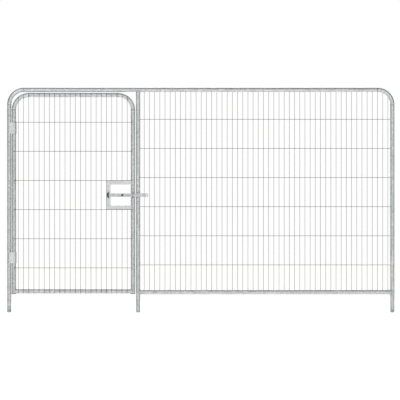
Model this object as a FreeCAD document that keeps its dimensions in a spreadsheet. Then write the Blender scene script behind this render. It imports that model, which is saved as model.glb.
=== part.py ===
import FreeCAD, Part
import math
import os
import Sketcher

# Livestock panel gate: a tube panel, held at its feet, with a walk-through gate in its left third.
# X runs from the hinge post to the end post, Y from the front to the back, Z up.
# The origin is the middle of the hinge post where it meets the ground.

doc = FreeCAD.newDocument("LivestockPanelGate")
sheet = doc.addObject("Spreadsheet::Sheet", "Sizes")
rows = {"next": 1}


def size(alias, value, note):
    """Put one driving dimension in the sheet."""
    line = str(rows["next"])
    sheet.set("A" + line, note)
    sheet.set("B" + line, str(value))
    sheet.setAlias("B" + line, alias)
    rows["next"] = rows["next"] + 1


size("overall_width", 3450, "outside of the hinge post to outside of the end post")
size("overall_height", 2000, "ground to the top of the top rail")
size("tube_diameter", 38, "outside diameter of every frame tube")
size("tube_wall", 2, "wall of every frame tube")
size("bend_radius", 132, "centre line of the corner bends")
size("weld_gap", 0.1, "between a coped tube end and the tube that it is welded to")
size("foot_bevel", 21, "height of the slanting cut at the foot of the two outer posts")
size("latch_post_place", 1148, "hinge post to latch post, centre to centre")
size("fixed_rail_height", 180, "ground to the middle of the fixed panel's lower rail")

size("hinge_gap", 4, "between the hinge post and the gate's hinge stile")
size("latch_gap", 8, "between the gate's latch stile and the latch post")
size("gate_top_gap", 8, "between the gate's top rail and the rail above it")
size("gate_rail_height", 187, "ground to the middle of the gate's lower rail")
size("plug_head", 5, "how far an end plug stands below the stile")
size("plug_depth", 22, "how far an end plug reaches into the stile")
size("plug_rounding", 2.5, "rounded edge of an end plug")

size("upright_diameter", 3, "upright mesh wires")
size("cross_diameter", 3.5, "cross mesh wires")
size("wire_set", 1, "how far two crossing wires are pressed into each other")
size("upright_pitch", 46.15, "from one upright wire to the next")
size("cross_pitch", 259.2, "from one cross wire to the next")
size("gate_first_upright", 40.2, "hinge stile to the gate's first upright wire")
size("gate_first_cross", 209.5, "gate's lower rail to its lowest cross wire")
size("fixed_first_upright", 54.8, "latch post to the fixed panel's first upright wire")
size("fixed_first_cross", 242.7, "fixed lower rail to the lowest cross wire")
size("cross_short", 7, "how far the gate's cross wires stop before the latch stile's middle")

size("strap_height", 98, "height of a hinge strap")
size("strap_thickness", 4, "hinge strap plate")
size("hinge_play", 0.3, "between a hinge strap and the stile that turns in it")
size("strap_above_wire", 41, "lowest cross wire to the lower strap's bottom edge")
size("strap_below_wire", 0.75, "between the upper strap's top edge and the highest cross wire")
size("lug_width", 16, "lug that carries the gate on a strap")
size("lug_height", 10, "lug that carries the gate on a strap")
size("lug_depth", 4.5, "how far the lug stands out of the stile")

size("plate_thickness", 4, "plate round the hand hole")
size("cut_uprights", 4, "gate uprights that stop above and below the hand hole")
size("wires_under_hole", 2, "cross wires below the one at the plate's lower edge")
size("plate_border", 36, "width of the plate beside, below and above the hand hole")
size("hole_rounding", 9, "inner corners of the hand hole")

size("bolt_height", 30, "sliding bolt's bar")
size("bolt_depth", 10, "sliding bolt's bar")
size("bolt_reach", 92, "how far the bolt stands past the middle of the latch post")
size("bolt_middle", 129.1, "bolt's centre line above the cross wire under the hand hole")
size("bolt_clearance", 0.5, "between the bolt and the upright wires behind it")
size("bolt_play", 0.3, "between the bolt and the windows that it slides in")
size("nose_flat", 2, "half of the flat left at the tip of the bolt's rounded nose")
size("padlock_hole", 13, "diameter of the hole in the bolt's nose")
size("padlock_inset", 15, "bolt's nose to the middle of that hole")
size("guide_height", 53, "bolt guide plates")
size("guide_thickness", 4, "bolt guide plates")
size("guide_lip", 6.2, "guide plate in front of the bolt")
size("guide_inset", 18, "upright wire at the plate's left edge to the left guide")
size("stop_thickness", 9.5, "stop at the bolt's left end")
size("stop_height", 38, "stop at the bolt's left end")
size("stop_depth", 14, "stop at the bolt's left end")
size("stop_gap", 0.5, "between the stop and the left guide")
size("handle_diameter", 16, "bolt's handle")
size("handle_length", 45, "bolt's handle")
size("handle_chamfer", 2, "outer edge of the handle")
size("nose_clear", 1, "how far the nose of the drawn bolt is past the latch post")
size("handle_play", 0.3, "left between the handle and the left guide when the bolt is drawn")
doc.recompute()

# Places that several pieces share, worked out in the sheet from the sizes above.
size("tube_radius", "=tube_diameter / 2", "derived")
size("bore_radius", "=tube_diameter / 2 - tube_wall", "derived")
size("cope_radius", "=tube_radius + weld_gap", "derived")
size("end_post_place", "=overall_width - tube_diameter", "derived")
size("top_rail_height", "=overall_height - tube_radius", "derived")
size("post_top", "=top_rail_height - bend_radius", "derived")
size("hinge_stile_place", "=tube_diameter + hinge_gap", "derived")
size("latch_stile_place", "=latch_post_place - tube_diameter - latch_gap", "derived")
size("gate_top_height", "=top_rail_height - tube_diameter - gate_top_gap", "derived")
size("gate_stile_top", "=gate_top_height - bend_radius", "derived")
size("gate_stile_foot", "=gate_rail_height - tube_radius", "derived")
size("upright_radius", "=upright_diameter / 2", "derived")
size("cross_radius", "=cross_diameter / 2", "derived")
size("layer_step", "=upright_radius + cross_radius - wire_set", "derived")
size("gate_cross_depth", "=-tube_radius - cross_radius", "derived")
size("gate_upright_depth", "=gate_cross_depth - layer_step", "derived")
size("fixed_cross_depth", "=layer_step / 2", "derived")
size("fixed_upright_depth", "=-fixed_cross_depth", "derived")
size("gate_lowest_wire", "=gate_rail_height + gate_first_cross", "derived")
size("fixed_lowest_wire", "=fixed_rail_height + fixed_first_cross", "derived")
size("gate_span", "=latch_stile_place - hinge_stile_place", "derived")
size("gate_mesh_room", "=gate_span - gate_first_upright - tube_diameter", "derived")
size("gate_uprights", "=floor(gate_mesh_room / upright_pitch + 0.000001) + 1", "derived")
size("plate_wire", "=gate_first_upright + (gate_uprights - 1 - cut_uprights) * upright_pitch", "derived")
size("plate_left", "=hinge_stile_place + plate_wire", "derived")
size("hand_wire", "=gate_lowest_wire + wires_under_hole * cross_pitch", "derived")
size("bolt_back", "=gate_upright_depth - upright_radius - bolt_clearance", "derived")
size("bolt_front", "=bolt_back - bolt_depth", "derived")
size("bolt_height_place", "=hand_wire + bolt_middle", "derived")
size("bolt_nose", "=latch_post_place + bolt_reach", "derived")
size("left_guide_place", "=plate_left + guide_inset", "derived")
size("bolt_tail", "=left_guide_place - guide_thickness / 2 - stop_gap", "derived")
size("bolt_travel", "=bolt_reach + tube_radius + nose_clear", "derived")
size("guide_face", "=left_guide_place + guide_thickness / 2", "derived")
size("handle_place", "=guide_face + bolt_travel + handle_play + handle_diameter / 2", "derived")
doc.recompute()


def number(text):
    """The value of an expression that uses the sheet's names."""
    found = sheet.evalExpression(text)
    return float(getattr(found, "Value", found))


def bind(thing, prop, text):
    """Tie one property of an object to an expression on the sheet."""
    thing.setExpression(prop, text)


def place(thing, x="0", y="0", z="0"):
    bind(thing, "Placement.Base.x", x)
    bind(thing, "Placement.Base.y", y)
    bind(thing, "Placement.Base.z", z)


def turned(thing, axis, degrees):
    thing.Placement = FreeCAD.Placement(FreeCAD.Vector(0, 0, 0), FreeCAD.Rotation(axis, degrees))


along_x = FreeCAD.Vector(1, 0, 0)
along_y = FreeCAD.Vector(0, 1, 0)
along_z = FreeCAD.Vector(0, 0, 1)
tolerance = 0.01  # for finding an edge by where it is
kept = []


def keep(thing, label):
    """Mark an object as one finished piece of the gate."""
    thing.Label = label
    kept.append(thing)
    return thing


def new_body(name):
    return doc.addObject("PartDesign::Body", name + "Body")


def new_sketch(body, role, name):
    """A sketch flat on one of the body's own origin planes."""
    plane = [item for item in body.Origin.OriginFeatures if item.Role == role][0]
    sketch = body.newObject("Sketcher::SketchObject", name)
    sketch.AttachmentSupport = [(plane, "")]
    sketch.MapMode = "FlatFace"
    return sketch


def measure_of(sketch, constraint, text):
    """Add a constraint and drive it from the sheet."""
    index = sketch.addConstraint(constraint)
    sketch.setExpression("Constraints[" + str(index) + "]", text)


def circle(sketch, radius, x="0", y="0"):
    """A circle with its radius and its middle on the sheet."""
    middle = FreeCAD.Vector(number(x), number(y), 0)
    index = sketch.addGeometry(Part.Circle(middle, along_z, number(radius)), False)
    measure_of(sketch, Sketcher.Constraint("Radius", index, number(radius)), radius)
    if x == "0" and y == "0":
        sketch.addConstraint(Sketcher.Constraint("Coincident", index, 3, -1, 1))
    elif y == "0":
        measure_of(sketch, Sketcher.Constraint("DistanceX", index, 3, number(x)), x)
        sketch.addConstraint(Sketcher.Constraint("PointOnObject", index, 3, -1))
    elif x == "0":
        sketch.addConstraint(Sketcher.Constraint("PointOnObject", index, 3, -2))
        measure_of(sketch, Sketcher.Constraint("DistanceY", index, 3, number(y)), y)
    else:
        measure_of(sketch, Sketcher.Constraint("DistanceX", index, 3, number(x)), x)
        measure_of(sketch, Sketcher.Constraint("DistanceY", index, 3, number(y)), y)
    return index


def polygon(sketch, corners):
    """A closed outline whose corners are pairs of expressions."""
    spots = [FreeCAD.Vector(number(x), number(y), 0) for x, y in corners]
    count = len(spots)
    edges = []
    for index in range(count):
        following = spots[(index + 1) % count]
        edges.append(sketch.addGeometry(Part.LineSegment(spots[index], following), False))
    for index in range(count):
        sketch.addConstraint(
            Sketcher.Constraint("Coincident", edges[index], 2, edges[(index + 1) % count], 1)
        )
    for index in range(count):
        x, y = corners[index]
        for kind, text, axis in (("DistanceX", x, -2), ("DistanceY", y, -1)):
            if text == "0":
                sketch.addConstraint(
                    Sketcher.Constraint("PointOnObject", edges[index], 1, axis)
                )
            else:
                measure_of(
                    sketch, Sketcher.Constraint(kind, edges[index], 1, number(text)), text
                )
    return edges


def rectangle(sketch, left, right, low, high):
    return polygon(sketch, ((left, low), (right, low), (right, high), (left, high)))


def pad(body, sketch, name, length, middle=False, back=False):
    feature = body.newObject("PartDesign::Pad", name)
    feature.Profile = sketch
    if middle:
        feature.SideType = "Symmetric"
    feature.Reversed = back
    bind(feature, "Length", length)
    sketch.Visibility = False
    return feature


def pocket_through(body, sketch, name):
    """Cut a sketch right through the body, both ways."""
    feature = body.newObject("PartDesign::Pocket", name)
    feature.Profile = sketch
    feature.SideType = "Symmetric"
    feature.Type = "ThroughAll"
    sketch.Visibility = False
    return feature


def edges_where(shape, test):
    """Names of the edges whose middle and direction pass the test."""
    names = []
    for index, edge in enumerate(shape.Edges):
        middle = edge.CenterOfMass
        if test(edge, middle):
            names.append("Edge" + str(index + 1))
    return names


# ---- frame tubes -------------------------------------------------------------------------


def tube(name, label, role, length, x, y, z):
    """A straight hollow tube, drawn as a ring and padded along the plane's normal."""
    body = new_body(name)
    ring = new_sketch(body, role, name + "Ring")
    circle(ring, "Sizes.tube_radius")
    circle(ring, "Sizes.bore_radius")
    pad(body, ring, name + "Length", length)
    place(body, x, y, z)
    return keep(body, label)


def bend(name, label, x, z, to_the_right):
    """A quarter bend from an upright tube to a rail, revolved about the bend's centre."""
    body = new_body(name)
    ring = new_sketch(body, "XY_Plane", name + "Ring")
    circle(ring, "Sizes.tube_radius", "-Sizes.bend_radius", "0")
    circle(ring, "Sizes.bore_radius", "-Sizes.bend_radius", "0")
    turn = body.newObject("PartDesign::Revolution", name + "Turn")
    turn.Profile = ring
    turn.ReferenceAxis = (ring, ["V_Axis"])
    turn.Angle = 90
    ring.Visibility = False
    if to_the_right:
        turned(body, along_z, 180)
    place(body, x, "0", z)
    return keep(body, label)


def bevel_foot(body, name):
    """Cut the foot of a post on a slant: the front is short and the back reaches the ground."""
    cut = new_sketch(body, "YZ_Plane", name + "Slant")
    # The slant runs on past the tube by a quarter of its diameter on each side.
    beyond = "(Sizes.tube_radius + Sizes.tube_diameter / 4)"
    front = "Sizes.foot_bevel + Sizes.foot_bevel / 4"
    back = "-Sizes.foot_bevel / 4"
    corners = (
        ("-" + beyond, front),
        (beyond, back),
        (beyond, "-" + beyond),
        ("-" + beyond, "-" + beyond),
    )
    polygon(cut, corners)
    pocket_through(body, cut, name + "Cut")


def cope(body, name, role, spots):
    """Fishmouth the ends of a tube where it meets other tubes of the same size."""
    mouths = new_sketch(body, role, name + "Mouths")
    for x, y in spots:
        circle(mouths, "Sizes.cope_radius", x, y)
    pocket_through(body, mouths, name + "Cope")


hinge_post = tube("HingePost", "hinge_post", "XY_Plane", "Sizes.post_top", "0", "0", "0")
bevel_foot(hinge_post, "HingePost")

end_post = tube(
    "EndPost", "end_post", "XY_Plane", "Sizes.post_top", "Sizes.end_post_place", "0", "0"
)
bevel_foot(end_post, "EndPost")

bend("TopLeftBend", "top_left_bend", "Sizes.bend_radius", "Sizes.post_top", False)
bend(
    "TopRightBend",
    "top_right_bend",
    "Sizes.end_post_place - Sizes.bend_radius",
    "Sizes.post_top",
    True,
)

tube(
    "TopRail",
    "top_rail",
    "YZ_Plane",
    "Sizes.end_post_place - 2 * Sizes.bend_radius",
    "Sizes.bend_radius",
    "0",
    "Sizes.top_rail_height",
)

latch_post = tube(
    "LatchPost",
    "latch_post",
    "XY_Plane",
    "Sizes.top_rail_height",
    "Sizes.latch_post_place",
    "0",
    "0",
)
cope(latch_post, "LatchPost", "YZ_Plane", (("0", "Sizes.top_rail_height"),))

fixed_rail = tube(
    "FixedRail",
    "fixed_bottom_rail",
    "YZ_Plane",
    "Sizes.end_post_place - Sizes.latch_post_place",
    "Sizes.latch_post_place",
    "0",
    "Sizes.fixed_rail_height",
)
fixed_span = "Sizes.end_post_place - Sizes.latch_post_place"


def cope_both_ends(body, name, span):
    """Fishmouth both ends of a rail against two upright tubes."""
    mouths = new_sketch(body, "XY_Plane", name + "Mouths")
    circle(mouths, "Sizes.cope_radius")
    circle(mouths, "Sizes.cope_radius", span, "0")
    pocket_through(body, mouths, name + "Cope")


cope_both_ends(fixed_rail, "FixedRail", fixed_span)

# ---- gate leaf ---------------------------------------------------------------------------

stile_length = "Sizes.gate_stile_top - Sizes.gate_stile_foot"
gate_span = "Sizes.gate_span"

tube(
    "GateHingeStile",
    "gate_hinge_stile",
    "XY_Plane",
    stile_length,
    "Sizes.hinge_stile_place",
    "0",
    "Sizes.gate_stile_foot",
)
tube(
    "GateLatchStile",
    "gate_latch_stile",
    "XY_Plane",
    stile_length,
    "Sizes.latch_stile_place",
    "0",
    "Sizes.gate_stile_foot",
)
bend(
    "GateLeftBend",
    "gate_top_left_bend",
    "Sizes.hinge_stile_place + Sizes.bend_radius",
    "Sizes.gate_stile_top",
    False,
)
bend(
    "GateRightBend",
    "gate_top_right_bend",
    "Sizes.latch_stile_place - Sizes.bend_radius",
    "Sizes.gate_stile_top",
    True,
)
tube(
    "GateTopRail",
    "gate_top_rail",
    "YZ_Plane",
    gate_span + " - 2 * Sizes.bend_radius",
    "Sizes.hinge_stile_place + Sizes.bend_radius",
    "0",
    "Sizes.gate_top_height",
)
gate_rail = tube(
    "GateBottomRail",
    "gate_bottom_rail",
    "YZ_Plane",
    gate_span,
    "Sizes.hinge_stile_place",
    "0",
    "Sizes.gate_rail_height",
)
cope_both_ends(gate_rail, "GateBottomRail", gate_span)


def end_plug(name, label, x):
    """A push-in plastic plug: a shank inside the tube and a rounded head below it."""
    body = new_body(name)
    head = new_sketch(body, "XY_Plane", name + "Head")
    circle(head, "Sizes.tube_radius")
    pad(body, head, name + "HeadPad", "Sizes.plug_head", back=True)
    shank = new_sketch(body, "XY_Plane", name + "Shank")
    circle(shank, "Sizes.bore_radius")
    shank_pad = pad(body, shank, name + "ShankPad", "Sizes.plug_depth")
    doc.recompute()
    low = -number("Sizes.plug_head")
    names = edges_where(shank_pad.Shape, lambda edge, middle: abs(middle.z - low) < tolerance)
    rounding = body.newObject("PartDesign::Fillet", name + "Rounding")
    rounding.Base = (shank_pad, names)
    bind(rounding, "Radius", "Sizes.plug_rounding")
    place(body, x, "0", "Sizes.gate_stile_foot")
    return keep(body, label)


end_plug("HingeStilePlug", "hinge_stile_plug", "Sizes.hinge_stile_place")
end_plug("LatchStilePlug", "latch_stile_plug", "Sizes.latch_stile_place")

# ---- mesh --------------------------------------------------------------------------------


def wire(name, length, x, y, z, level=False):
    """One round wire, upright or level."""
    rod = doc.addObject("Part::Cylinder", name)
    if level:
        turned(rod, along_y, 90)
    bind(rod, "Radius", "Sizes.cross_radius" if level else "Sizes.upright_radius")
    bind(rod, "Height", length)
    place(rod, x, y, z)
    return rod


def mesh(name, label, rods):
    group = doc.addObject("Part::Compound", name)
    group.Links = rods
    return keep(group, label)


def how_many(room, pitch):
    """Wires that fit in this room, with the first one at its start."""
    return int(math.floor(room / pitch + 1e-6)) + 1


upright_pitch = number("Sizes.upright_pitch")
cross_pitch = number("Sizes.cross_pitch")

# Gate: the uprights pass in front of the rails, and the cross wires lie on the stiles.
gate_uprights = round(number("Sizes.gate_uprights"))
gate_rise = number("Sizes.gate_top_height - Sizes.gate_lowest_wire - Sizes.tube_radius")
gate_crosses = how_many(gate_rise - number("Sizes.cross_diameter"), cross_pitch)


def cross_height(first, index):
    return first + " + " + str(index) + " * Sizes.cross_pitch"


def arch(reach, inset):
    """Height above a bend's centre where an upright at this inset meets the bend."""
    across = "(Sizes.bend_radius - (" + inset + "))"
    return "sqrt((" + reach + ") * (" + reach + ") - " + across + " * " + across + ")"


def meets_bend(inset):
    return number(inset) < number("Sizes.bend_radius")


hand_low = "Sizes.hand_wire"
hand_high = "Sizes.hand_wire + Sizes.cross_pitch"
hand_hole_left = number("Sizes.plate_left + Sizes.plate_border")
rods = []
for index in range(gate_uprights):
    inset = "Sizes.gate_first_upright + " + str(index) + " * Sizes.upright_pitch"
    x = "Sizes.hinge_stile_place + " + inset
    far_inset = gate_span + " - (" + inset + ")"
    low = "Sizes.gate_stile_foot"
    high = "Sizes.gate_top_height + Sizes.tube_radius"
    outer = "Sizes.bend_radius + Sizes.tube_radius - Sizes.upright_diameter"
    for side in (inset, far_inset):
        if meets_bend(side):
            high = "Sizes.gate_stile_top + " + arch(outer, side)
    name = "GateUpright" + str(index + 1)
    if number(x) > hand_hole_left:
        below = hand_low + " + Sizes.cross_radius - " + low
        above = high + " - (" + hand_high + " - Sizes.cross_radius)"
        rods.append(wire(name + "Low", below, x, "Sizes.gate_upright_depth", low))
        start = hand_high + " - Sizes.cross_radius"
        rods.append(wire(name + "High", above, x, "Sizes.gate_upright_depth", start))
    else:
        rods.append(wire(name, high + " - " + low, x, "Sizes.gate_upright_depth", low))
mesh("GateUprights", "gate_mesh_upright_wires", rods)

rods = []
for index in range(gate_crosses):
    rods.append(
        wire(
            "GateCross" + str(index + 1),
            gate_span + " - Sizes.cross_short",
            "Sizes.hinge_stile_place",
            "Sizes.gate_cross_depth",
            cross_height("Sizes.gate_lowest_wire", index),
            level=True,
        )
    )
mesh("GateCrosses", "gate_mesh_cross_wires", rods)

# Fixed panel: the wires end on the tubes, in the middle of the frame's thickness.
fixed_room = number(fixed_span + " - Sizes.fixed_first_upright - Sizes.tube_radius")
fixed_uprights = how_many(fixed_room - number("Sizes.upright_diameter"), upright_pitch)
fixed_rise = number("Sizes.top_rail_height - Sizes.fixed_lowest_wire - Sizes.tube_radius")
fixed_crosses = how_many(fixed_rise - number("Sizes.cross_diameter"), cross_pitch)

rods = []
for index in range(fixed_uprights):
    inset = "Sizes.fixed_first_upright + " + str(index) + " * Sizes.upright_pitch"
    x = "Sizes.latch_post_place + " + inset
    far_inset = fixed_span + " - (" + inset + ")"
    low = "Sizes.fixed_rail_height + Sizes.tube_radius"
    high = "Sizes.top_rail_height - Sizes.tube_radius"
    inner = "Sizes.bend_radius - Sizes.tube_radius"
    if meets_bend(far_inset):
        high = "Sizes.post_top + " + arch(inner, far_inset + " - Sizes.upright_radius")
    length = high + " - (" + low + ")"
    name = "FixedUpright" + str(index + 1)
    rods.append(wire(name, length, x, "Sizes.fixed_upright_depth", low))
mesh("FixedUprights", "fixed_mesh_upright_wires", rods)

rods = []
for index in range(fixed_crosses):
    rods.append(
        wire(
            "FixedCross" + str(index + 1),
            fixed_span + " - Sizes.tube_diameter",
            "Sizes.latch_post_place + Sizes.tube_radius",
            "Sizes.fixed_cross_depth",
            cross_height("Sizes.fixed_lowest_wire", index),
            level=True,
        )
    )
mesh("FixedCrosses", "fixed_mesh_cross_wires", rods)

# ---- hinges ------------------------------------------------------------------------------


def hinge_strap(name, label, z):
    """A plate bent round the hinge stile, with both legs tangent to the post."""
    body = new_body(name)
    profile = new_sketch(body, "XY_Plane", name + "Profile")
    inner = "Sizes.tube_radius + Sizes.hinge_play"
    outer = "Sizes.tube_radius + Sizes.hinge_play + Sizes.strap_thickness"
    stile = "Sizes.hinge_stile_place"
    middle = FreeCAD.Vector(number(stile), 0, 0)
    quarter = math.pi / 2
    arcs = []
    for radius in (outer, inner):
        round_part = Part.Circle(middle, along_z, number(radius))
        arcs.append(
            profile.addGeometry(Part.ArcOfCircle(round_part, -quarter, quarter), False)
        )
    legs = []
    for side in ("-", ""):
        for radius in (outer, inner):
            height = side + "(" + radius + ")"
            start = FreeCAD.Vector(0, number(height), 0)
            stop = FreeCAD.Vector(number(stile), number(height), 0)
            leg = profile.addGeometry(Part.LineSegment(start, stop), False)
            profile.addConstraint(Sketcher.Constraint("PointOnObject", leg, 1, -2))
            measure_of(
                profile, Sketcher.Constraint("DistanceY", leg, 1, number(height)), height
            )
            measure_of(
                profile, Sketcher.Constraint("DistanceX", leg, 2, number(stile)), stile
            )
            profile.addConstraint(Sketcher.Constraint("Horizontal", leg))
            legs.append(leg)
    for front, rear in ((legs[0], legs[1]), (legs[2], legs[3])):
        ends = [profile.getPoint(front, 1), profile.getPoint(rear, 1)]
        cap = profile.addGeometry(Part.LineSegment(ends[0], ends[1]), False)
        profile.addConstraint(Sketcher.Constraint("Coincident", cap, 1, front, 1))
        profile.addConstraint(Sketcher.Constraint("Coincident", cap, 2, rear, 1))
    for arc, low_leg, high_leg in ((arcs[0], legs[0], legs[2]), (arcs[1], legs[1], legs[3])):
        profile.addConstraint(Sketcher.Constraint("Coincident", arc, 1, low_leg, 2))
        profile.addConstraint(Sketcher.Constraint("Coincident", arc, 2, high_leg, 2))
        measure_of(profile, Sketcher.Constraint("DistanceX", arc, 3, number(stile)), stile)
    pad(body, profile, name + "Height", "Sizes.strap_height")
    place(body, "0", "0", z)
    return keep(body, label)


lower_strap = "Sizes.gate_lowest_wire + Sizes.strap_above_wire"
top_wire = cross_height("Sizes.gate_lowest_wire", gate_crosses - 1)
upper_strap = top_wire + " - Sizes.cross_radius - Sizes.strap_below_wire - Sizes.strap_height"
hinge_strap("LowerHingeStrap", "lower_hinge_strap", lower_strap)
hinge_strap("UpperHingeStrap", "upper_hinge_strap", upper_strap)


def hinge_lug(name, label, strap):
    """A block welded to the back of the stile that rests on a strap's top edge."""
    # The block reaches as far into the stile as out of it, and the stile's round is cut away.
    block = doc.addObject("Part::Box", name + "Block")
    bind(block, "Length", "Sizes.lug_width")
    bind(block, "Width", "Sizes.lug_depth * 2")
    bind(block, "Height", "Sizes.lug_height")
    z = strap + " + Sizes.strap_height + Sizes.hinge_play"
    x = "Sizes.hinge_stile_place - Sizes.lug_width / 2"
    place(block, x, "Sizes.tube_radius - Sizes.lug_depth", z)
    stile = doc.addObject("Part::Cylinder", name + "Stile")
    bind(stile, "Radius", "Sizes.tube_radius + Sizes.weld_gap / 2")
    bind(stile, "Height", "Sizes.lug_height * 3")
    place(stile, "Sizes.hinge_stile_place", "0", z + " - Sizes.lug_height")
    lug = doc.addObject("Part::Cut", name)
    lug.Base = block
    lug.Tool = stile
    return keep(lug, label)


hinge_lug("LowerHingeLug", "lower_hinge_lug", lower_strap)
hinge_lug("UpperHingeLug", "upper_hinge_lug", upper_strap)

# ---- hand hole plate and bolt ------------------------------------------------------------

# The plate is a letter C that opens towards the latch stile, flush with the tubes' front.
plate = new_body("HandHolePlate")
face = new_sketch(plate, "XZ_Plane", "HandHoleOutline")
flank = "Sizes.tube_radius - Sizes.plate_thickness"
stile_side = "sqrt(Sizes.tube_radius * Sizes.tube_radius - (" + flank + ") * (" + flank + "))"
right = "Sizes.latch_stile_place - Sizes.plate_left - " + stile_side + " - Sizes.weld_gap"
border = "Sizes.plate_border"
corners = (
    ("0", "0"),
    (right, "0"),
    (right, border),
    (border, border),
    (border, "Sizes.cross_pitch - " + border),
    (right, "Sizes.cross_pitch - " + border),
    (right, "Sizes.cross_pitch"),
    ("0", "Sizes.cross_pitch"),
)
polygon(face, corners)
plate_pad = pad(plate, face, "HandHolePad", "Sizes.plate_thickness", back=True)
doc.recompute()
inner_x = number(border)


def inner_corner(edge, middle):
    through = abs(edge.BoundBox.YLength - number("Sizes.plate_thickness")) < tolerance
    inside = abs(middle.x - inner_x) < tolerance
    return through and inside and edge.BoundBox.ZLength < tolerance


corner_names = edges_where(plate_pad.Shape, inner_corner)
hole_rounding = plate.newObject("PartDesign::Fillet", "HandHoleRounding")
hole_rounding.Base = (plate_pad, corner_names)
bind(hole_rounding, "Radius", "Sizes.hole_rounding")
place(plate, "Sizes.plate_left", "-Sizes.tube_radius", "Sizes.hand_wire")
keep(plate, "hand_hole_plate")


def bolt_guide(name, label, x):
    """A plate on edge with a window that the bolt slides through."""
    body = new_body(name)
    outline = new_sketch(body, "YZ_Plane", name + "Outline")
    half = "Sizes.guide_height / 2"
    front = "Sizes.bolt_front - Sizes.guide_lip"
    rectangle(outline, front, "-Sizes.tube_radius", "-" + half, half)
    rise = "(Sizes.bolt_height / 2 + Sizes.bolt_play)"
    window_front = "Sizes.bolt_front - Sizes.bolt_play"
    rectangle(outline, window_front, "Sizes.bolt_back + Sizes.bolt_play", "-" + rise, rise)
    pad(body, outline, name + "Plate", "Sizes.guide_thickness", middle=True)
    place(body, x, "0", "Sizes.bolt_height_place")
    return keep(body, label)


bolt_guide("LeftBoltGuide", "left_bolt_guide", "Sizes.left_guide_place")
bolt_guide("RightBoltGuide", "right_bolt_guide", "Sizes.latch_stile_place")

bolt = new_body("BoltBar")
side_view = new_sketch(bolt, "XZ_Plane", "BoltSide")
bolt_length = "Sizes.bolt_nose - Sizes.bolt_tail"
half_bolt = "Sizes.bolt_height / 2"
rectangle(side_view, "0", bolt_length, "-" + half_bolt, half_bolt)
pad(bolt, side_view, "BoltPad", "Sizes.bolt_depth")
hole = new_sketch(bolt, "XZ_Plane", "PadlockHole")
circle(hole, "Sizes.padlock_hole / 2", bolt_length + " - Sizes.padlock_inset", "0")
hole_cut = pocket_through(bolt, hole, "PadlockCut")
doc.recompute()
nose = number(bolt_length)


def nose_corner(edge, middle):
    through = abs(edge.BoundBox.YLength - number("Sizes.bolt_depth")) < tolerance
    return through and abs(middle.x - nose) < tolerance


nose_names = edges_where(hole_cut.Shape, nose_corner)
nose_round = bolt.newObject("PartDesign::Fillet", "NoseRounding")
nose_round.Base = (hole_cut, nose_names)
bind(nose_round, "Radius", "Sizes.bolt_height / 2 - Sizes.nose_flat")
place(bolt, "Sizes.bolt_tail", "Sizes.bolt_back", "Sizes.bolt_height_place")
keep(bolt, "bolt_bar")

stop = doc.addObject("Part::Box", "BoltStop")
bind(stop, "Length", "Sizes.stop_thickness")
bind(stop, "Width", "Sizes.stop_depth")
bind(stop, "Height", "Sizes.stop_height")
place(
    stop,
    "Sizes.bolt_tail - Sizes.stop_thickness",
    "Sizes.bolt_back - Sizes.stop_depth",
    "Sizes.bolt_height_place - Sizes.stop_height / 2",
)
keep(stop, "bolt_end_stop")

handle = new_body("BoltHandle")
grip = new_sketch(handle, "XZ_Plane", "HandleRound")
circle(grip, "Sizes.handle_diameter / 2")
grip_pad = pad(handle, grip, "HandlePad", "Sizes.handle_length")
doc.recompute()
tip = -number("Sizes.handle_length")
tip_names = edges_where(grip_pad.Shape, lambda edge, middle: abs(middle.y - tip) < tolerance)
tip_cut = handle.newObject("PartDesign::Chamfer", "HandleChamfer")
tip_cut.Base = (grip_pad, tip_names)
bind(tip_cut, "Size", "Sizes.handle_chamfer")
place(
    handle,
    "Sizes.handle_place",
    "Sizes.bolt_front",
    "Sizes.bolt_height_place",
)
keep(handle, "bolt_handle")

# ---- check and write ---------------------------------------------------------------------

doc.recompute()
for thing in doc.Objects:
    if "Invalid" in thing.State or "Error" in thing.State:
        raise RuntimeError(thing.Name + " did not build: " + str(thing.State))

os.makedirs("parts", exist_ok=True)
for thing in kept:
    shape = thing.Shape
    if shape.isNull() or not shape.isValid() or not shape.Solids:
        raise RuntimeError(thing.Label + " has no valid solid")
for thing in kept:
    thing.Shape.exportStep(os.path.join("parts", thing.Label + ".step"))
    box = thing.Shape.BoundBox
    print(
        thing.Label,
        len(thing.Shape.Solids),
        round(thing.Shape.Volume),
        [round(box.XMin, 1), round(box.XMax, 1)],
        [round(box.YMin, 1), round(box.YMax, 1)],
        [round(box.ZMin, 1), round(box.ZMax, 1)],
    )
print(len(kept), "pieces written")
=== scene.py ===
import math
import bmesh
import bpy
from mathutils import Matrix, Vector, noise


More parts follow.
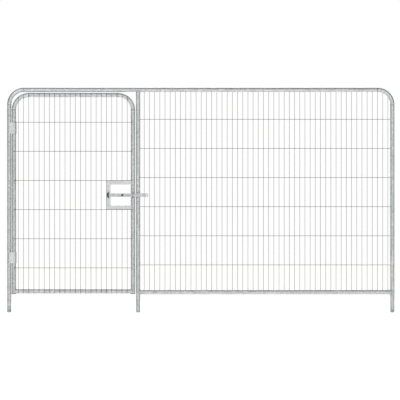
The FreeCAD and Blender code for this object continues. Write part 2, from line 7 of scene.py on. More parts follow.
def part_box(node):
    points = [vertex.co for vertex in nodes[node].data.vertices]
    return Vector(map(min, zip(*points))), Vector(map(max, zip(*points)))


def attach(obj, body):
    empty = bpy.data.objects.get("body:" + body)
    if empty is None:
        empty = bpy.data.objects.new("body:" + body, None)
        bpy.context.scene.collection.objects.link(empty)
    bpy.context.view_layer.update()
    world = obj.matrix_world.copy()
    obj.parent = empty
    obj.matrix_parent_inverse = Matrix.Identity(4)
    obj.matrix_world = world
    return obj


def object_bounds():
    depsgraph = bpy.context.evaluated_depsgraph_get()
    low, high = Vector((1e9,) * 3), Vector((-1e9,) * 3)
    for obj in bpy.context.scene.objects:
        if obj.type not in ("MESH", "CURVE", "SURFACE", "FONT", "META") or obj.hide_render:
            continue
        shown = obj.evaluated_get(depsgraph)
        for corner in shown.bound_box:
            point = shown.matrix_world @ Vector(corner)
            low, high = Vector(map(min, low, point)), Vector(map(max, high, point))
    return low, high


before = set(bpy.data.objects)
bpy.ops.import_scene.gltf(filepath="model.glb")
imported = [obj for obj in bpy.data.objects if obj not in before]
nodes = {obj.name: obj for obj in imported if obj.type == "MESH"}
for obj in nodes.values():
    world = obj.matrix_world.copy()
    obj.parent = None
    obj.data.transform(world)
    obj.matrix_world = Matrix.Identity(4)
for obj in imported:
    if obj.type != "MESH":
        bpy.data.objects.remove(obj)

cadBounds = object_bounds()
print("frame loaded:", len(nodes), "CAD pieces")


# small helpers

def toLinear(hexColour):
    parts = [int(hexColour[i:i + 2], 16) / 255 for i in (1, 3, 5)]
    return [*(c / 12.92 if c <= 0.04045 else ((c + 0.055) / 1.055) ** 2.4 for c in parts), 1]


def perMetre(millimetres):
    return 1000 / millimetres  # pattern scale for a feature of this real size


def addNode(tree, kind, inputs=None, **settings):
    node = tree.nodes.new(kind)
    for name, value in settings.items():
        setattr(node, name, value)
    for socket, value in (inputs or {}).items():
        if isinstance(value, bpy.types.NodeSocket):
            tree.links.new(value, node.inputs[socket])
        else:
            node.inputs[socket].default_value = value
    return node


def setStops(ramp, stops):
    elements = ramp.color_ramp.elements
    while len(elements) < len(stops):
        elements.new(0.5)
    for element, (position, colour) in zip(elements, stops):
        element.position = position
        element.color = toLinear(colour)


def startMaterial(name):
    material = bpy.data.materials.new(name)
    material.use_nodes = True
    tree = material.node_tree
    tree.nodes.clear()
    shader = addNode(tree, "ShaderNodeBsdfPrincipled")
    output = addNode(tree, "ShaderNodeOutputMaterial")
    tree.links.new(shader.outputs["BSDF"], output.inputs["Surface"])
    coords = addNode(tree, "ShaderNodeTexCoord").outputs["Object"]
    return material, tree, shader, coords


# materials

tubeZinc = {
    "crystalMm": 10,        # spangle, the zinc crystals of a dipped tube
    "wobbleMm": 3.5,        # how ragged the crystals' edges are
    "patchMm": 170,         # dull oxide clouds
    "runMm": 9,             # width of the faint run marks
    "darkCrystal": "#aeb2b3",
    "midCrystal": "#c3c6c7",
    "lightCrystal": "#dadcdd",
    "oxide": "#c7c9c8",
    "oxideShare": 0.45,
    "smooth": 0.33,
    "rough": 0.52,
    "oxideDulls": 0.22,     # roughness that full oxide adds
    "reliefMm": 0.05,
    "crystalRelief": 0.5,   # how much the crystals count in the relief, beside the grit
    "gritMm": 1.6,
    "runDark": 0.9,         # how far the run marks darken and lighten the zinc
    "runLight": 1.06,
    "runsAlong": (1, 1, 0.05),
}
plateZinc = dict(tubeZinc, crystalMm=6, wobbleMm=2, patchMm=90, darkCrystal="#bfc2c3",
                 midCrystal="#cfd1d2", lightCrystal="#dfe1e2", oxideShare=0.35, smooth=0.3)
# black passivation over zinc: nearly black, and the crystals only just show
guideZinc = dict(plateZinc, darkCrystal="#26292a", midCrystal="#303335", lightCrystal="#3f4345",
                 oxide="#383b3c")
# zinc over a weld: darker, with finer crystals and more relief
beadZinc = dict(tubeZinc, crystalMm=3.5, wobbleMm=1.2, patchMm=25, darkCrystal="#7c8081",
                midCrystal="#929697", lightCrystal="#adb0b1", oxideShare=0.3, reliefMm=0.12)


def zincCoat(name, look):
    # hot-dip zinc: cool grey metal broken into crystals that catch the light one by one
    material, tree, shader, coords = startMaterial(name)
    wobble = addNode(tree, "ShaderNodeTexNoise",
                     {"Vector": coords, "Scale": perMetre(look["wobbleMm"] * 4), "Detail": 3})
    centred = addNode(tree, "ShaderNodeVectorMath", {0: wobble.outputs["Color"], 1: (0.5, 0.5, 0.5)},
                      operation="SUBTRACT")
    reach = look["wobbleMm"] / 1000
    shifted = addNode(tree, "ShaderNodeVectorMath",
                      {0: centred.outputs[0], 1: (reach, reach, reach), 2: coords}, operation="MULTIPLY_ADD")
    crystals = addNode(tree, "ShaderNodeTexVoronoi",
                       {"Vector": shifted.outputs[0], "Scale": perMetre(look["crystalMm"])})
    cell = addNode(tree, "ShaderNodeSeparateColor", {"Color": crystals.outputs["Color"]})
    tone = addNode(tree, "ShaderNodeValToRGB", {"Fac": cell.outputs["Red"]})
    setStops(tone, ((0, look["darkCrystal"]), (0.55, look["midCrystal"]), (1, look["lightCrystal"])))

    clouds = addNode(tree, "ShaderNodeTexNoise",
                     {"Vector": coords, "Scale": perMetre(look["patchMm"]), "Detail": 6, "Roughness": 0.62})
    cloudShare = addNode(tree, "ShaderNodeMapRange",
                         {"Value": clouds.outputs["Fac"], "From Min": 0.42, "From Max": 0.68,
                          "To Max": look["oxideShare"]})
    dulled = addNode(tree, "ShaderNodeMixRGB",
                     {"Fac": cloudShare.outputs[0], "Color1": tone.outputs["Color"],
                      "Color2": toLinear(look["oxide"])})

    stretched = addNode(tree, "ShaderNodeMapping", {"Vector": coords, "Scale": look["runsAlong"]})
    runs = addNode(tree, "ShaderNodeTexNoise",
                   {"Vector": stretched.outputs[0], "Scale": perMetre(look["runMm"]), "Detail": 4})
    runShade = addNode(tree, "ShaderNodeMapRange",
                       {"Value": runs.outputs["Fac"], "From Min": 0.3, "From Max": 0.7,
                        "To Min": look["runDark"], "To Max": look["runLight"]})
    shaded = addNode(tree, "ShaderNodeVectorMath",
                     {0: dulled.outputs["Color"], "Scale": runShade.outputs[0]}, operation="SCALE")
    tree.links.new(shaded.outputs[0], shader.inputs["Base Color"])

    gloss = addNode(tree, "ShaderNodeMapRange",
                    {"Value": cell.outputs["Green"], "To Min": look["smooth"], "To Max": look["rough"]})
    worn = addNode(tree, "ShaderNodeMath",
                   {0: cloudShare.outputs[0], 1: look["oxideDulls"], 2: gloss.outputs[0]},
                   operation="MULTIPLY_ADD")
    tree.links.new(worn.outputs[0], shader.inputs["Roughness"])
    shader.inputs["Metallic"].default_value = 1

    grit = addNode(tree, "ShaderNodeTexNoise",
                   {"Vector": coords, "Scale": perMetre(look["gritMm"]), "Detail": 4})
    height = addNode(tree, "ShaderNodeMath",
                     {0: crystals.outputs["Distance"], 1: look["crystalRelief"], 2: grit.outputs["Fac"]},
                     operation="MULTIPLY_ADD")
    bump = addNode(tree, "ShaderNodeBump",
                   {"Height": height.outputs[0], "Strength": 0.5, "Distance": look["reliefMm"] / 1000})
    tree.links.new(bump.outputs[0], shader.inputs["Normal"])
    return material


drawnWireLook = {
    "drawLineMm": 0.5,      # die marks; the real ones are finer, this is as fine as a close view shows
    "lineShare": 0.45,      # how much they count in the colour, beside the clouds
    "reliefMm": 0.04,
    "patchMm": 60,
    "dark": "#08090a",
    "light": "#1b1d1f",
    "smooth": 0.38,
    "rough": 0.6,
}


def drawnWire(name, alongWire):
    # drawn and galvanised wire gone dark outdoors: near black beside the tubes, with fine lines along it
    look = drawnWireLook
    material, tree, shader, coords = startMaterial(name)
    stretched = addNode(tree, "ShaderNodeMapping", {"Vector": coords, "Scale": alongWire})
    lines = addNode(tree, "ShaderNodeTexNoise",
                    {"Vector": stretched.outputs[0], "Scale": perMetre(look["drawLineMm"]), "Detail": 3})
    clouds = addNode(tree, "ShaderNodeTexNoise",
                     {"Vector": coords, "Scale": perMetre(look["patchMm"]), "Detail": 5})
    share = addNode(tree, "ShaderNodeMath",
                    {0: lines.outputs["Fac"], 1: look["lineShare"], 2: clouds.outputs["Fac"]},
                    operation="MULTIPLY_ADD")
    spread = addNode(tree, "ShaderNodeMapRange",
                     {"Value": share.outputs[0], "From Min": 0.5, "From Max": 0.95})
    tone = addNode(tree, "ShaderNodeValToRGB", {"Fac": spread.outputs[0]})
    setStops(tone, ((0, look["dark"]), (1, look["light"])))
    tree.links.new(tone.outputs["Color"], shader.inputs["Base Color"])
    gloss = addNode(tree, "ShaderNodeMapRange",
                    {"Value": clouds.outputs["Fac"], "From Min": 0.35, "From Max": 0.65,
                     "To Min": look["smooth"], "To Max": look["rough"]})
    tree.links.new(gloss.outputs[0], shader.inputs["Roughness"])
    shader.inputs["Metallic"].default_value = 1
    bump = addNode(tree, "ShaderNodeBump",
                   {"Height": lines.outputs["Fac"], "Strength": 0.4, "Distance": look["reliefMm"] / 1000})
    tree.links.new(bump.outputs[0], shader.inputs["Normal"])
    return material


boltZincLook = {
    "scratchMm": 0.9,
    "scratchStretch": (0.03, 1, 1),
    "reliefMm": 0.05,
    "patchMm": 35,
    "plating": "#b1b4b5",
    "bright": "#c9cccd",
    "rubbed": "#85898b",
    "smooth": 0.24,
    "rough": 0.46,
}


def platedBolt(name):
    # electroplated zinc on flat bar: smooth and bright, rubbed along its length where it slides
    look = boltZincLook
    material, tree, shader, coords = startMaterial(name)
    stretched = addNode(tree, "ShaderNodeMapping", {"Vector": coords, "Scale": look["scratchStretch"]})
    scratches = addNode(tree, "ShaderNodeTexNoise",
                        {"Vector": stretched.outputs[0], "Scale": perMetre(look["scratchMm"]), "Detail": 5,
                         "Roughness": 0.7})
    rubbed = addNode(tree, "ShaderNodeMapRange",
                     {"Value": scratches.outputs["Fac"], "From Min": 0.55, "From Max": 0.7})
    clouds = addNode(tree, "ShaderNodeTexNoise",
                     {"Vector": coords, "Scale": perMetre(look["patchMm"]), "Detail": 4})
    tone = addNode(tree, "ShaderNodeValToRGB", {"Fac": clouds.outputs["Fac"]})
    setStops(tone, ((0.35, look["plating"]), (0.65, look["bright"])))
    mixed = addNode(tree, "ShaderNodeMixRGB",
                    {"Fac": rubbed.outputs[0], "Color1": tone.outputs["Color"],
                     "Color2": toLinear(look["rubbed"])})
    tree.links.new(mixed.outputs["Color"], shader.inputs["Base Color"])
    gloss = addNode(tree, "ShaderNodeMapRange",
                    {"Value": scratches.outputs["Fac"], "From Min": 0.3, "From Max": 0.7,
                     "To Min": look["smooth"], "To Max": look["rough"]})
    tree.links.new(gloss.outputs[0], shader.inputs["Roughness"])
    shader.inputs["Metallic"].default_value = 1
    bump = addNode(tree, "ShaderNodeBump",
                   {"Height": scratches.outputs["Fac"], "Strength": 0.35,
                    "Distance": look["reliefMm"] / 1000})
    tree.links.new(bump.outputs[0], shader.inputs["Normal"])
    return material


plugLook = {
    "grainMm": 0.7,
    "reliefMm": 0.1,
    "dustMm": 14,
    "plastic": "#17181a",
    "dusty": "#3a3835",
    "smooth": 0.45,
    "rough": 0.75,
    "ior": 1.5,
}


def mouldedPlug(name):
    # moulded polyethylene: near black and matt, with a fine grain and a little dust
    look = plugLook
    material, tree, shader, coords = startMaterial(name)
    dust = addNode(tree, "ShaderNodeTexNoise",
                   {"Vector": coords, "Scale": perMetre(look["dustMm"]), "Detail": 6})
    dustShare = addNode(tree, "ShaderNodeMapRange",
                        {"Value": dust.outputs["Fac"], "From Min": 0.5, "From Max": 0.8})
    tone = addNode(tree, "ShaderNodeMixRGB",
                   {"Fac": dustShare.outputs[0], "Color1": toLinear(look["plastic"]),
                    "Color2": toLinear(look["dusty"])})
    tree.links.new(tone.outputs["Color"], shader.inputs["Base Color"])
    gloss = addNode(tree, "ShaderNodeMapRange",
                    {"Value": dust.outputs["Fac"], "To Min": look["smooth"], "To Max": look["rough"]})
    tree.links.new(gloss.outputs[0], shader.inputs["Roughness"])
    shader.inputs["IOR"].default_value = look["ior"]
    grain = addNode(tree, "ShaderNodeTexNoise",
                    {"Vector": coords, "Scale": perMetre(look["grainMm"]), "Detail": 2})
    bump = addNode(tree, "ShaderNodeBump",
                   {"Height": grain.outputs["Fac"], "Strength": 0.3, "Distance": look["reliefMm"] / 1000})
    tree.links.new(bump.outputs[0], shader.inputs["Normal"])
    return material


uprightTube = zincCoat("Hot-dip galvanised tube, upright", tubeZinc)
levelTube = zincCoat("Hot-dip galvanised tube, level", dict(tubeZinc, runsAlong=(0.05, 1, 1)))
dippedPlate = zincCoat("Hot-dip galvanised plate", plateZinc)
darkPlate = zincCoat("Black passivated zinc plate", guideZinc)
dippedBead = zincCoat("Galvanised weld bead", beadZinc)
uprightWire = drawnWire("Drawn wire, upright", (1, 1, 0.02))
levelWire = drawnWire("Drawn wire, level", (0.02, 1, 1))
boltSteel = platedBolt("Zinc plated bar")
blackPlastic = mouldedPlug("Moulded polyethylene")

finishes = {
    "hinge_post": uprightTube, "end_post": uprightTube, "latch_post": uprightTube,
    "gate_hinge_stile": uprightTube, "gate_latch_stile": uprightTube,
    "top_left_bend": uprightTube, "top_right_bend": uprightTube,
    "gate_top_left_bend": uprightTube, "gate_top_right_bend": uprightTube,
    "top_rail": levelTube, "fixed_bottom_rail": levelTube,
    "gate_top_rail": levelTube, "gate_bottom_rail": levelTube,
    "fixed_mesh_upright_wires": uprightWire, "gate_mesh_upright_wires": uprightWire,
    "fixed_mesh_cross_wires": levelWire, "gate_mesh_cross_wires": levelWire,
    "lower_hinge_strap": dippedPlate, "upper_hinge_strap": dippedPlate,
    "lower_hinge_lug": dippedPlate, "upper_hinge_lug": dippedPlate,
    "hand_hole_plate": dippedPlate, "left_bolt_guide": darkPlate, "right_bolt_guide": darkPlate,
    "bolt_bar": boltSteel, "bolt_end_stop": darkPlate, "bolt_handle": darkPlate,
    "hinge_stile_plug": blackPlastic, "latch_stile_plug": blackPlastic,
}
for nodeName, finish in finishes.items():
    slots = nodes[nodeName].data.materials
    slots.clear()
    slots.append(finish)
print("materials on", len(finishes), "CAD pieces")


# places read from the CAD

def middleOf(nodeName):
    low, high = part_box(nodeName)
    return (low + high) / 2


tubeRadius = (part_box("gate_hinge_stile")[1].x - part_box("gate_hinge_stile")[0].x) / 2
postX = middleOf("hinge_post").x
endX = middleOf("end_post").x
latchX = middleOf("latch_post").x
stileX = middleOf("gate_hinge_stile").x
latchStileX = middleOf("gate_latch_stile").x
topRailZ = middleOf("top_rail").z
fixedRailZ = middleOf("fixed_bottom_rail").z
gateTopZ = middleOf("gate_top_rail").z
gateRailZ = middleOf("gate_bottom_rail").z
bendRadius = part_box("top_rail")[0].x - postX
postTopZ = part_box("hinge_post")[1].z
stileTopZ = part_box("gate_hinge_stile")[1].z


# welds

weldLook = {
    "sides": 8,             # of a bead's section
    "steps": 72,            # round a tube
    "buttWidth": 0.0028,    # half the width of a bead round a butt joint
    "buttProud": 0.0009,
    "filletWidth": 0.0034,  # half the width of a bead round a coped joint
    "filletProud": 0.0019,
    "rippleLength": 0.0034, # one puddle to the next
    "rippleDepth": 0.14,    # share of the bead's height
    "apexRound": 0.1,       # share of the tube's radius, where the two sides of a coped bead meet
    "apexThin": 0.45,       # share of the bead's height left there, where both tubes are flush
    "unevenRing": 0.25,     # share by which a ring's height wanders
    "ringLumps": 2,         # radius of the circle on which its noise is read
    "unevenBar": 0.2,       # the same for a straight bead
    "barLumps": 60,         # steps through its noise in a metre
    "endPower": 6,          # the higher, the shorter a straight bead's drawn-in ends
    "endThin": 0.12,        # square of the share of its height left at the very end
    "mergeWithin": 1e-6,
}


def addPart(target, part, matrix):
    bmesh.ops.transform(part, matrix=matrix, verts=part.verts)
    holder = bpy.data.meshes.new("holder")
    part.to_mesh(holder)
    target.from_mesh(holder)
    part.free()
    bpy.data.meshes.remove(holder)


def ringBead(radius, width, proud, seed, saddle=0):
    # a rippled bead round a tube that runs along local Z; saddle bends it round a crossing tube along local Y
    bm = bmesh.new()
    section = bmesh.ops.create_circle(bm, segments=weldLook["sides"], radius=1)["verts"]
    stand = Matrix.Translation((radius, 0, 0)) @ Matrix.Rotation(math.pi / 2, 4, "X")
    bmesh.ops.transform(bm, matrix=stand @ Matrix.Diagonal((proud, width, 1, 1)), verts=section)
    bmesh.ops.spin(bm, geom=bm.verts[:] + bm.edges[:], cent=(0, 0, 0), axis=(0, 0, 1), angle=math.tau,
                   steps=weldLook["steps"], use_merge=True)
    puddles = round(math.tau * radius / weldLook["rippleLength"])
    lumps = weldLook["ringLumps"]
    for vert in bm.verts:
        turn = math.atan2(vert.co.y, vert.co.x)
        flat = Vector((vert.co.x, vert.co.y, 0))
        out = flat.length - radius
        swell = 1 + weldLook["rippleDepth"] * math.sin(puddles * turn + vert.co.z / width)
        spot = Vector((math.cos(turn) * lumps, math.sin(turn) * lumps, seed))
        swell += weldLook["unevenRing"] * noise.noise(spot)
        lift = vert.co.z * swell
        if saddle:
            sideways = abs(math.cos(turn))
            swell *= weldLook["apexThin"] + (1 - weldLook["apexThin"]) * sideways
            lift += saddle * tubeRadius * math.hypot(sideways, weldLook["apexRound"])
        flat = flat.normalized() * (radius + out * swell)
        vert.co = Vector((flat.x, flat.y, lift))
    return bm


def barBead(length, width, proud, seed):
    # a straight rippled bead along local Z, centred, with drawn-in ends
    bm = bmesh.new()
    section = bmesh.ops.create_circle(bm, segments=weldLook["sides"], radius=1)["verts"]
    start = Matrix.Translation((0, 0, -length / 2))
    bmesh.ops.transform(bm, matrix=start @ Matrix.Diagonal((width, proud, 1, 1)), verts=section)
    steps = max(6, round(length / weldLook["rippleLength"]) * 3)
    bmesh.ops.spin(bm, geom=bm.verts[:] + bm.edges[:], cent=(0, 0, 0), axis=(0, 0, 1), angle=0,
                   dvec=(0, 0, length / steps), steps=steps, use_merge=False)
    for vert in bm.verts:
        along = vert.co.z / length + 0.5
        taper = math.sqrt(max(1 - (2 * along - 1) ** weldLook["endPower"], weldLook["endThin"]))
        swell = 1 + weldLook["rippleDepth"] * math.sin(math.tau * vert.co.z / weldLook["rippleLength"])
        swell += weldLook["unevenBar"] * noise.noise(Vector((vert.co.z * weldLook["barLumps"], seed, 0)))
        vert.co.x *= taper * swell
        vert.co.y *= taper * swell
    bmesh.ops.holes_fill(bm, edges=bm.edges[:], sides=weldLook["sides"])
    return bm


def finishPiece(name, bm, body, material):
    low, high = cadBounds
    for vert in bm.verts:  # a bead is ground flush where it would stand out of the whole panel
        vert.co = [min(max(value, least), most) for value, least, most in zip(vert.co, low, high)]
    bmesh.ops.remove_doubles(bm, verts=bm.verts, dist=weldLook["mergeWithin"])
    bmesh.ops.recalc_face_normals(bm, faces=bm.faces)
    for face in bm.faces:
        face.smooth = True
    mesh = bpy.data.meshes.new(name)
    bm.to_mesh(mesh)
    bm.free()
    piece = bpy.data.objects.new(name, mesh)
    bpy.context.scene.collection.objects.link(piece)
    mesh.materials.append(material)
    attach(piece, body)
    return piece


alongX = Matrix.Rotation(math.pi / 2, 4, "Y")  # turns local Z to X, along the panel
width, proud = weldLook["buttWidth"], weldLook["buttProud"]
fillet, filletProud = weldLook["filletWidth"], weldLook["filletProud"]

# butt joints between straight tubes and bends, coped joints where a rail meets a post
for body, leftX, rightX, jointZ, railZ in (
    ("panel", postX, endX, postTopZ, topRailZ),
    ("gate", stileX, latchStileX, stileTopZ, gateTopZ),
):
    beads = bmesh.new()
    for seed, (x, z, turn) in enumerate((
        (leftX, jointZ, Matrix.Identity(4)),
        (rightX, jointZ, Matrix.Identity(4)),
        (leftX + bendRadius, railZ, alongX),
        (rightX - bendRadius, railZ, alongX),
    )):
        addPart(beads, ringBead(tubeRadius, width, proud, seed), Matrix.Translation((x, 0, z)) @ turn)
    coped = [(stileX, gateRailZ, 1), (latchStileX, gateRailZ, -1)]
    if body == "panel":
        coped = [(latchX, fixedRailZ, 1), (endX, fixedRailZ, -1)]
        underRail = ringBead(tubeRadius, fillet, filletProud, seed=9, saddle=-1)
        addPart(beads, underRail, Matrix.Translation((latchX, 0, topRailZ)))
    for seed, (x, z, side) in enumerate(coped):
        addPart(beads, ringBead(tubeRadius, fillet, filletProud, seed + 5, saddle=side),
                Matrix.Translation((x, 0, z)) @ alongX)
    finishPiece(body + "_tube_welds", beads, body, dippedBead)
print("tube welds made")


# mesh welds

meshLook = {
    "gateUprights": 22,
    "fixedUprights": 48,
    "crosses": 6,
    "spot": (0.0026, 0.0017, 0.0026),      # where two wires cross
    "railTack": (0.0030, 0.0026, 0.0052),  # an upright wire on a rail
    "stileTack": (0.0048, 0.0022, 0.0026), # a cross wire on a stile
    "buttTack": 0.0028,                    # a wire that ends on a tube
    "stileTackIn": 0.002,                  # from the end of a cross wire
    "latchTackBack": 0.0005,               # how far the tacks on the latch stile sit back
    "topSeed": 50,                         # so that the tacks at a wire's two ends differ
    "rightSeed": 9,
}

blobLook = {
    "turn": 2.4,            # radians from one lump to the next
    "sizeSpread": 0.16,     # share by which a lump is larger or smaller
    "noiseStep": 0.73,      # how far apart two lumps read the noise, and along which line
    "noiseLine": 1.7,
}


def evenly(low, high, count):
    return [low + (high - low) * i / (count - 1) for i in range(count)]


def blob(target, place, size, seed):
    # a small lump of weld, a little different each time
    turn = Matrix.Rotation(seed * blobLook["turn"], 4, "Y")
    spot = Vector((seed * blobLook["noiseStep"], blobLook["noiseLine"], 0))
    swell = 1 + blobLook["sizeSpread"] * noise.noise(spot)
    shape = Matrix.Translation(place) @ Matrix.Diagonal((*(Vector(size) * swell), 1)) @ turn
    bmesh.ops.create_icosphere(target, subdivisions=1, radius=1, matrix=shape)


def wirePlaces(nodeName, axis, count):
    low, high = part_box(nodeName)
    radius = (high.y - low.y) / 2
    return evenly(low[axis] + radius, high[axis] - radius, count), (low.y + high.y) / 2, radius


def bendHeight(inset, radius):
    return math.sqrt(max(radius ** 2 - (bendRadius - inset) ** 2, 0))


for body, uprightNode, crossNode, count in (
    ("gate", "gate_mesh_upright_wires", "gate_mesh_cross_wires", meshLook["gateUprights"]),
    ("panel", "fixed_mesh_upright_wires", "fixed_mesh_cross_wires", meshLook["fixedUprights"]),
):
    uprights, uprightY, wireRadius = wirePlaces(uprightNode, 0, count)
    crosses, crossY, wireRadius = wirePlaces(crossNode, 2, meshLook["crosses"])
    spots = bmesh.new()
    seedStep = meshLook["crosses"] + 1
    for i, x in enumerate(uprights):
        for j, z in enumerate(crosses):
            blob(spots, (x, (uprightY + crossY) / 2, z), meshLook["spot"], i * seedStep + j)
    finishPiece(body + "_mesh_spot_welds", spots, body, uprightWire)

    tacks = bmesh.new()
    crossLow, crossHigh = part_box(crossNode)
    buttTack = (meshLook["buttTack"],) * 3
    topSeed, rightSeed = meshLook["topSeed"], meshLook["rightSeed"]
    for i, x in enumerate(uprights):
        if body == "gate":
            inset = min(x - stileX, latchStileX - x)
            topZ = gateTopZ if inset > bendRadius else stileTopZ + bendHeight(inset, bendRadius)
            tackY = (-tubeRadius + uprightY + wireRadius) / 2
            blob(tacks, (x, tackY, gateRailZ), meshLook["railTack"], i)
            blob(tacks, (x, tackY, topZ), meshLook["railTack"], i + topSeed)
        else:
            inset = endX - x
            topZ = topRailZ - tubeRadius
            if inset < bendRadius:
                topZ = postTopZ + bendHeight(inset, bendRadius - tubeRadius)
            blob(tacks, (x, uprightY, fixedRailZ + tubeRadius), buttTack, i)
            blob(tacks, (x, uprightY, topZ), buttTack, i + topSeed)
    for j, z in enumerate(crosses):
        if body == "gate":
            inward, tackY = meshLook["stileTackIn"], crossY + wireRadius
            blob(tacks, (crossLow.x + inward, tackY, z), meshLook["stileTack"], j)
            place = (crossHigh.x - inward, tackY + meshLook["latchTackBack"], z)
            blob(tacks, place, meshLook["stileTack"], j + rightSeed)
        else:
            blob(tacks, (crossLow.x, crossY, z), buttTack, j)
            blob(tacks, (crossHigh.x, crossY, z), buttTack, j + rightSeed)
    finishPiece(body + "_wire_end_welds", tacks, body, dippedBead)
print("mesh welds made")


# welds of the fittings

fittingLook = {
    "leg": 0.0022,          # half the width of a small fillet
    "proud": 0.0017,
    "short": 0.004,         # how much shorter a bead is than the plate that it holds
    "sunk": 0.0002,         # how far in from an edge the middle of a bead lies
    "strapSide": 0.0006,    # from the post's centre line to the middle of a strap's bead
    "strapIn": 0.0022,      # from the strap's outer face to the middle of its bead
    "plateBorder": 0.036,   # of the hand hole plate, beside its opening
    "plateBack": 0.0016,    # from the plate's front to the middle of its bead
    "tackPlaces": (0.12, 0.5, 0.88),        # along the plate, as shares of its length
    "plateTack": (0.006, 0.0014, 0.002),
    "tackIn": 0.0016,       # from the plate's upper and lower edges
    "tackOut": 0.0004,      # and in front of its face
}
lugLook = {
    "leg": 0.0016,          # a lug's beads are finer
    "proud": 0.0014,
    "short": 0.0024,
    "back": 0.0006,         # from the lug's front to the middle of its beads
    "up": 0.0008,           # and above its own middle
}
guideLook = {
    "short": 0.006,         # how much shorter a fillet is than the guide
}
boltWeldLook = {
    "width": 0.0022,        # half the width of the bead round the handle
    "proud": 0.0016,
    "stopLand": 0.0001,     # how far the handle's bead stands out towards the left guide
    "stopTack": (0.0012, 0.0045, 0.0065),
}
leg, legProud = fittingLook["leg"], fittingLook["proud"]

straps = bmesh.new()
for seed, nodeName in enumerate(("lower_hinge_strap", "upper_hinge_strap")):
    low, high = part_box(nodeName)
    for side in (-1, 1):  # along the end of each leg, front and back
        outward = high.y - fittingLook["strapIn"]
        place = Matrix.Translation((postX - fittingLook["strapSide"], side * outward, (low.z + high.z) / 2))
        length = high.z - low.z - fittingLook["short"]
        addPart(straps, barBead(length, leg, legProud, seed * 2 + side), place)
finishPiece("hinge_strap_welds", straps, "panel", dippedBead)

plateLow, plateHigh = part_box("hand_hole_plate")
border = fittingLook["plateBorder"]
fittings = bmesh.new()
for seed, z in enumerate((plateLow.z + border / 2, plateHigh.z - border / 2)):
    place = Matrix.Translation((plateHigh.x - fittingLook["sunk"], plateLow.y + fittingLook["plateBack"], z))
    addPart(fittings, barBead(border - fittingLook["short"], leg, legProud, seed), place)
for seed, nodeName in enumerate(("lower_hinge_lug", "upper_hinge_lug")):
    low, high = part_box(nodeName)
    for x in (low.x, high.x):
        place = Matrix.Translation((x, low.y + lugLook["back"], (low.z + high.z) / 2 + lugLook["up"]))
        length = high.z - low.z - lugLook["short"]
        addPart(fittings, barBead(length, lugLook["leg"], lugLook["proud"], seed + x), place)
tackIn = fittingLook["tackIn"]
for seed, z in enumerate((plateLow.z + tackIn, plateHigh.z - tackIn)):  # the plate's tacks to the cross wires
    for step in fittingLook["tackPlaces"]:
        x = plateLow.x + (plateHigh.x - plateLow.x) * step
        blob(fittings, (x, plateLow.y - fittingLook["tackOut"], z), fittingLook["plateTack"], seed)
finishPiece("gate_fitting_welds", fittings, "gate", dippedBead)

guideWelds = bmesh.new()
for seed, nodeName in enumerate(("left_bolt_guide", "right_bolt_guide")):
    low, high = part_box(nodeName)
    for x in (low.x, high.x):  # a fillet on each side of the guide's foot
        place = Matrix.Translation((x, high.y - fittingLook["sunk"], (low.z + high.z) / 2))
        length = high.z - low.z - guideLook["short"]
        addPart(guideWelds, barBead(length, leg, legProud, seed + x), place)
finishPiece("bolt_guide_welds", guideWelds, "gate", darkPlate)

boltWelds = bmesh.new()
handleLow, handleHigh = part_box("bolt_handle")
handleRadius = (handleHigh.x - handleLow.x) / 2
facing = Matrix.Rotation(math.pi / 2, 4, "X")
place = Matrix.Translation(((handleLow.x + handleHigh.x) / 2, handleHigh.y, (handleLow.z + handleHigh.z) / 2))
handleBead = ringBead(handleRadius, boltWeldLook["width"], boltWeldLook["proud"], seed=3)
addPart(boltWelds, handleBead, place @ facing)
for vert in boltWelds.verts:  # dressed flat at the left, where the handle meets the guide
    vert.co.x = max(vert.co.x, handleLow.x - boltWeldLook["stopLand"])
stopLow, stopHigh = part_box("bolt_end_stop")
stopMiddle = (stopLow + stopHigh) / 2
blob(boltWelds, (stopLow.x, stopMiddle.y, stopMiddle.z), boltWeldLook["stopTack"], seed=2)
finishPiece("bolt_welds", boltWelds, "bolt", dippedBead)
print("fitting welds made")


# floor, light, camera

studio = {
    "floorReach": 45.0,
    "floorSides": 96,
    "floor": "#f4f4f2",
    "floorDim": "#f1f1ef",
    "floorMottleMm": 400,
    "floorRough": 0.9,
    "floorLight": 1.25,      # sky strength for matt surfaces, so the floor comes out as white as the backdrop
    "darkSide": 0.1,         # sky strength that polished metal sees at the left and right
    "darkTop": 0.3,          # and overhead
    "pictureWidth": 3.562,   # metres across the picture in the panel's plane
    "middleX": 1.699,
    "middleZ": 1.0005,
    "lens": 600,             # long enough to read as an elevation
    "sensor": 36,
    "clip": (1, 300),
    "lamps": (               # name, place, size in metres, power in watts
        ("key", (-1.6, -5.5, 5.4), 3.2, 90),
        ("fill", (6.4, -5.0, 4.2), 3.2, 50),
        ("back", (1.8, 5.6, 5.2), 3.5, 80),
    ),
}

floorMesh = bpy.data.meshes.new("floor")
bm = bmesh.new()
bmesh.ops.create_circle(bm, cap_ends=True, segments=studio["floorSides"], radius=studio["floorReach"],
                        matrix=Matrix.Translation((studio["middleX"], 0, 0)))
bm.to_mesh(floorMesh)
bm.free()
floorPiece = bpy.data.objects.new("floor", floorMesh)
bpy.context.scene.collection.objects.link(floorPiece)
# off-white matt paper: no gloss, and a mottle so faint that it reads as even
floorMaterial, tree, shader, coords = startMaterial("Matt paper floor")
mottle = addNode(tree, "ShaderNodeTexNoise",
                 {"Vector": coords, "Scale": perMetre(studio["floorMottleMm"]), "Detail": 4})
paper = addNode(tree, "ShaderNodeValToRGB", {"Fac": mottle.outputs["Fac"]})
setStops(paper, ((0.3, studio["floorDim"]), (0.7, studio["floor"])))
tree.links.new(paper.outputs["Color"], shader.inputs["Base Color"])
shader.inputs["Roughness"].default_value = studio["floorRough"]
floorMesh.materials.append(floorMaterial)

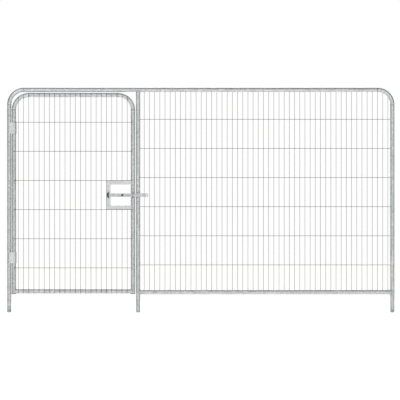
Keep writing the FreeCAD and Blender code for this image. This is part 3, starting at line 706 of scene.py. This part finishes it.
world = bpy.data.worlds.new("studio")
world.use_nodes = True
bpy.context.scene.world = world
tree = world.node_tree
tree.nodes.clear()
direction = addNode(tree, "ShaderNodeSeparateXYZ",
                    {"Vector": addNode(tree, "ShaderNodeTexCoord").outputs["Generated"]})
sideways = addNode(tree, "ShaderNodeMath", {0: direction.outputs["X"]}, operation="ABSOLUTE")
sideShade = addNode(tree, "ShaderNodeMapRange",
                    {"Value": sideways.outputs[0], "From Min": 0.35, "From Max": 0.95,
                     "To Min": 1, "To Max": studio["darkSide"]})
upShade = addNode(tree, "ShaderNodeMapRange",
                  {"Value": direction.outputs["Z"], "From Min": 0.3, "From Max": 0.9,
                   "To Min": 1, "To Max": studio["darkTop"]})
both = addNode(tree, "ShaderNodeMath", {0: sideShade.outputs[0], 1: upShade.outputs[0]}, operation="MULTIPLY")
ray = addNode(tree, "ShaderNodeLightPath")
onMatt = addNode(tree, "ShaderNodeMix",
                 {"Factor": ray.outputs["Is Diffuse Ray"], "A": both.outputs[0], "B": studio["floorLight"]})
seen = addNode(tree, "ShaderNodeMix",
               {"Factor": ray.outputs["Is Camera Ray"], "A": onMatt.outputs[0], "B": 1.0})
backdrop = addNode(tree, "ShaderNodeBackground", {"Color": toLinear("#ffffff"), "Strength": seen.outputs[0]})
surface = addNode(tree, "ShaderNodeOutputWorld")
tree.links.new(backdrop.outputs[0], surface.inputs["Surface"])


def softBox(name, place, aim, size, power):
    light = bpy.data.lights.new(name, "AREA")
    light.shape = "SQUARE"
    light.size = size
    light.energy = power
    lamp = bpy.data.objects.new(name, light)
    lamp.location = place
    lamp.rotation_euler = (Vector(aim) - Vector(place)).to_track_quat("-Z", "Y").to_euler()
    bpy.context.scene.collection.objects.link(lamp)


centre = (studio["middleX"], 0, studio["middleZ"])
for lampName, lampPlace, lampSize, power in studio["lamps"]:
    softBox(lampName, lampPlace, centre, lampSize, power)

camera = bpy.data.cameras.new("camera")
camera.lens = studio["lens"]
camera.sensor_width = studio["sensor"]
camera.clip_start, camera.clip_end = studio["clip"]
cameraPiece = bpy.data.objects.new("camera", camera)
distance = studio["pictureWidth"] * studio["lens"] / studio["sensor"]
cameraPiece.location = (studio["middleX"], -distance, studio["middleZ"])
cameraPiece.rotation_euler = (math.pi / 2, 0, 0)
bpy.context.scene.collection.objects.link(cameraPiece)
bpy.context.scene.camera = cameraPiece
bpy.context.scene.view_settings.view_transform = "Standard"
print("studio ready")
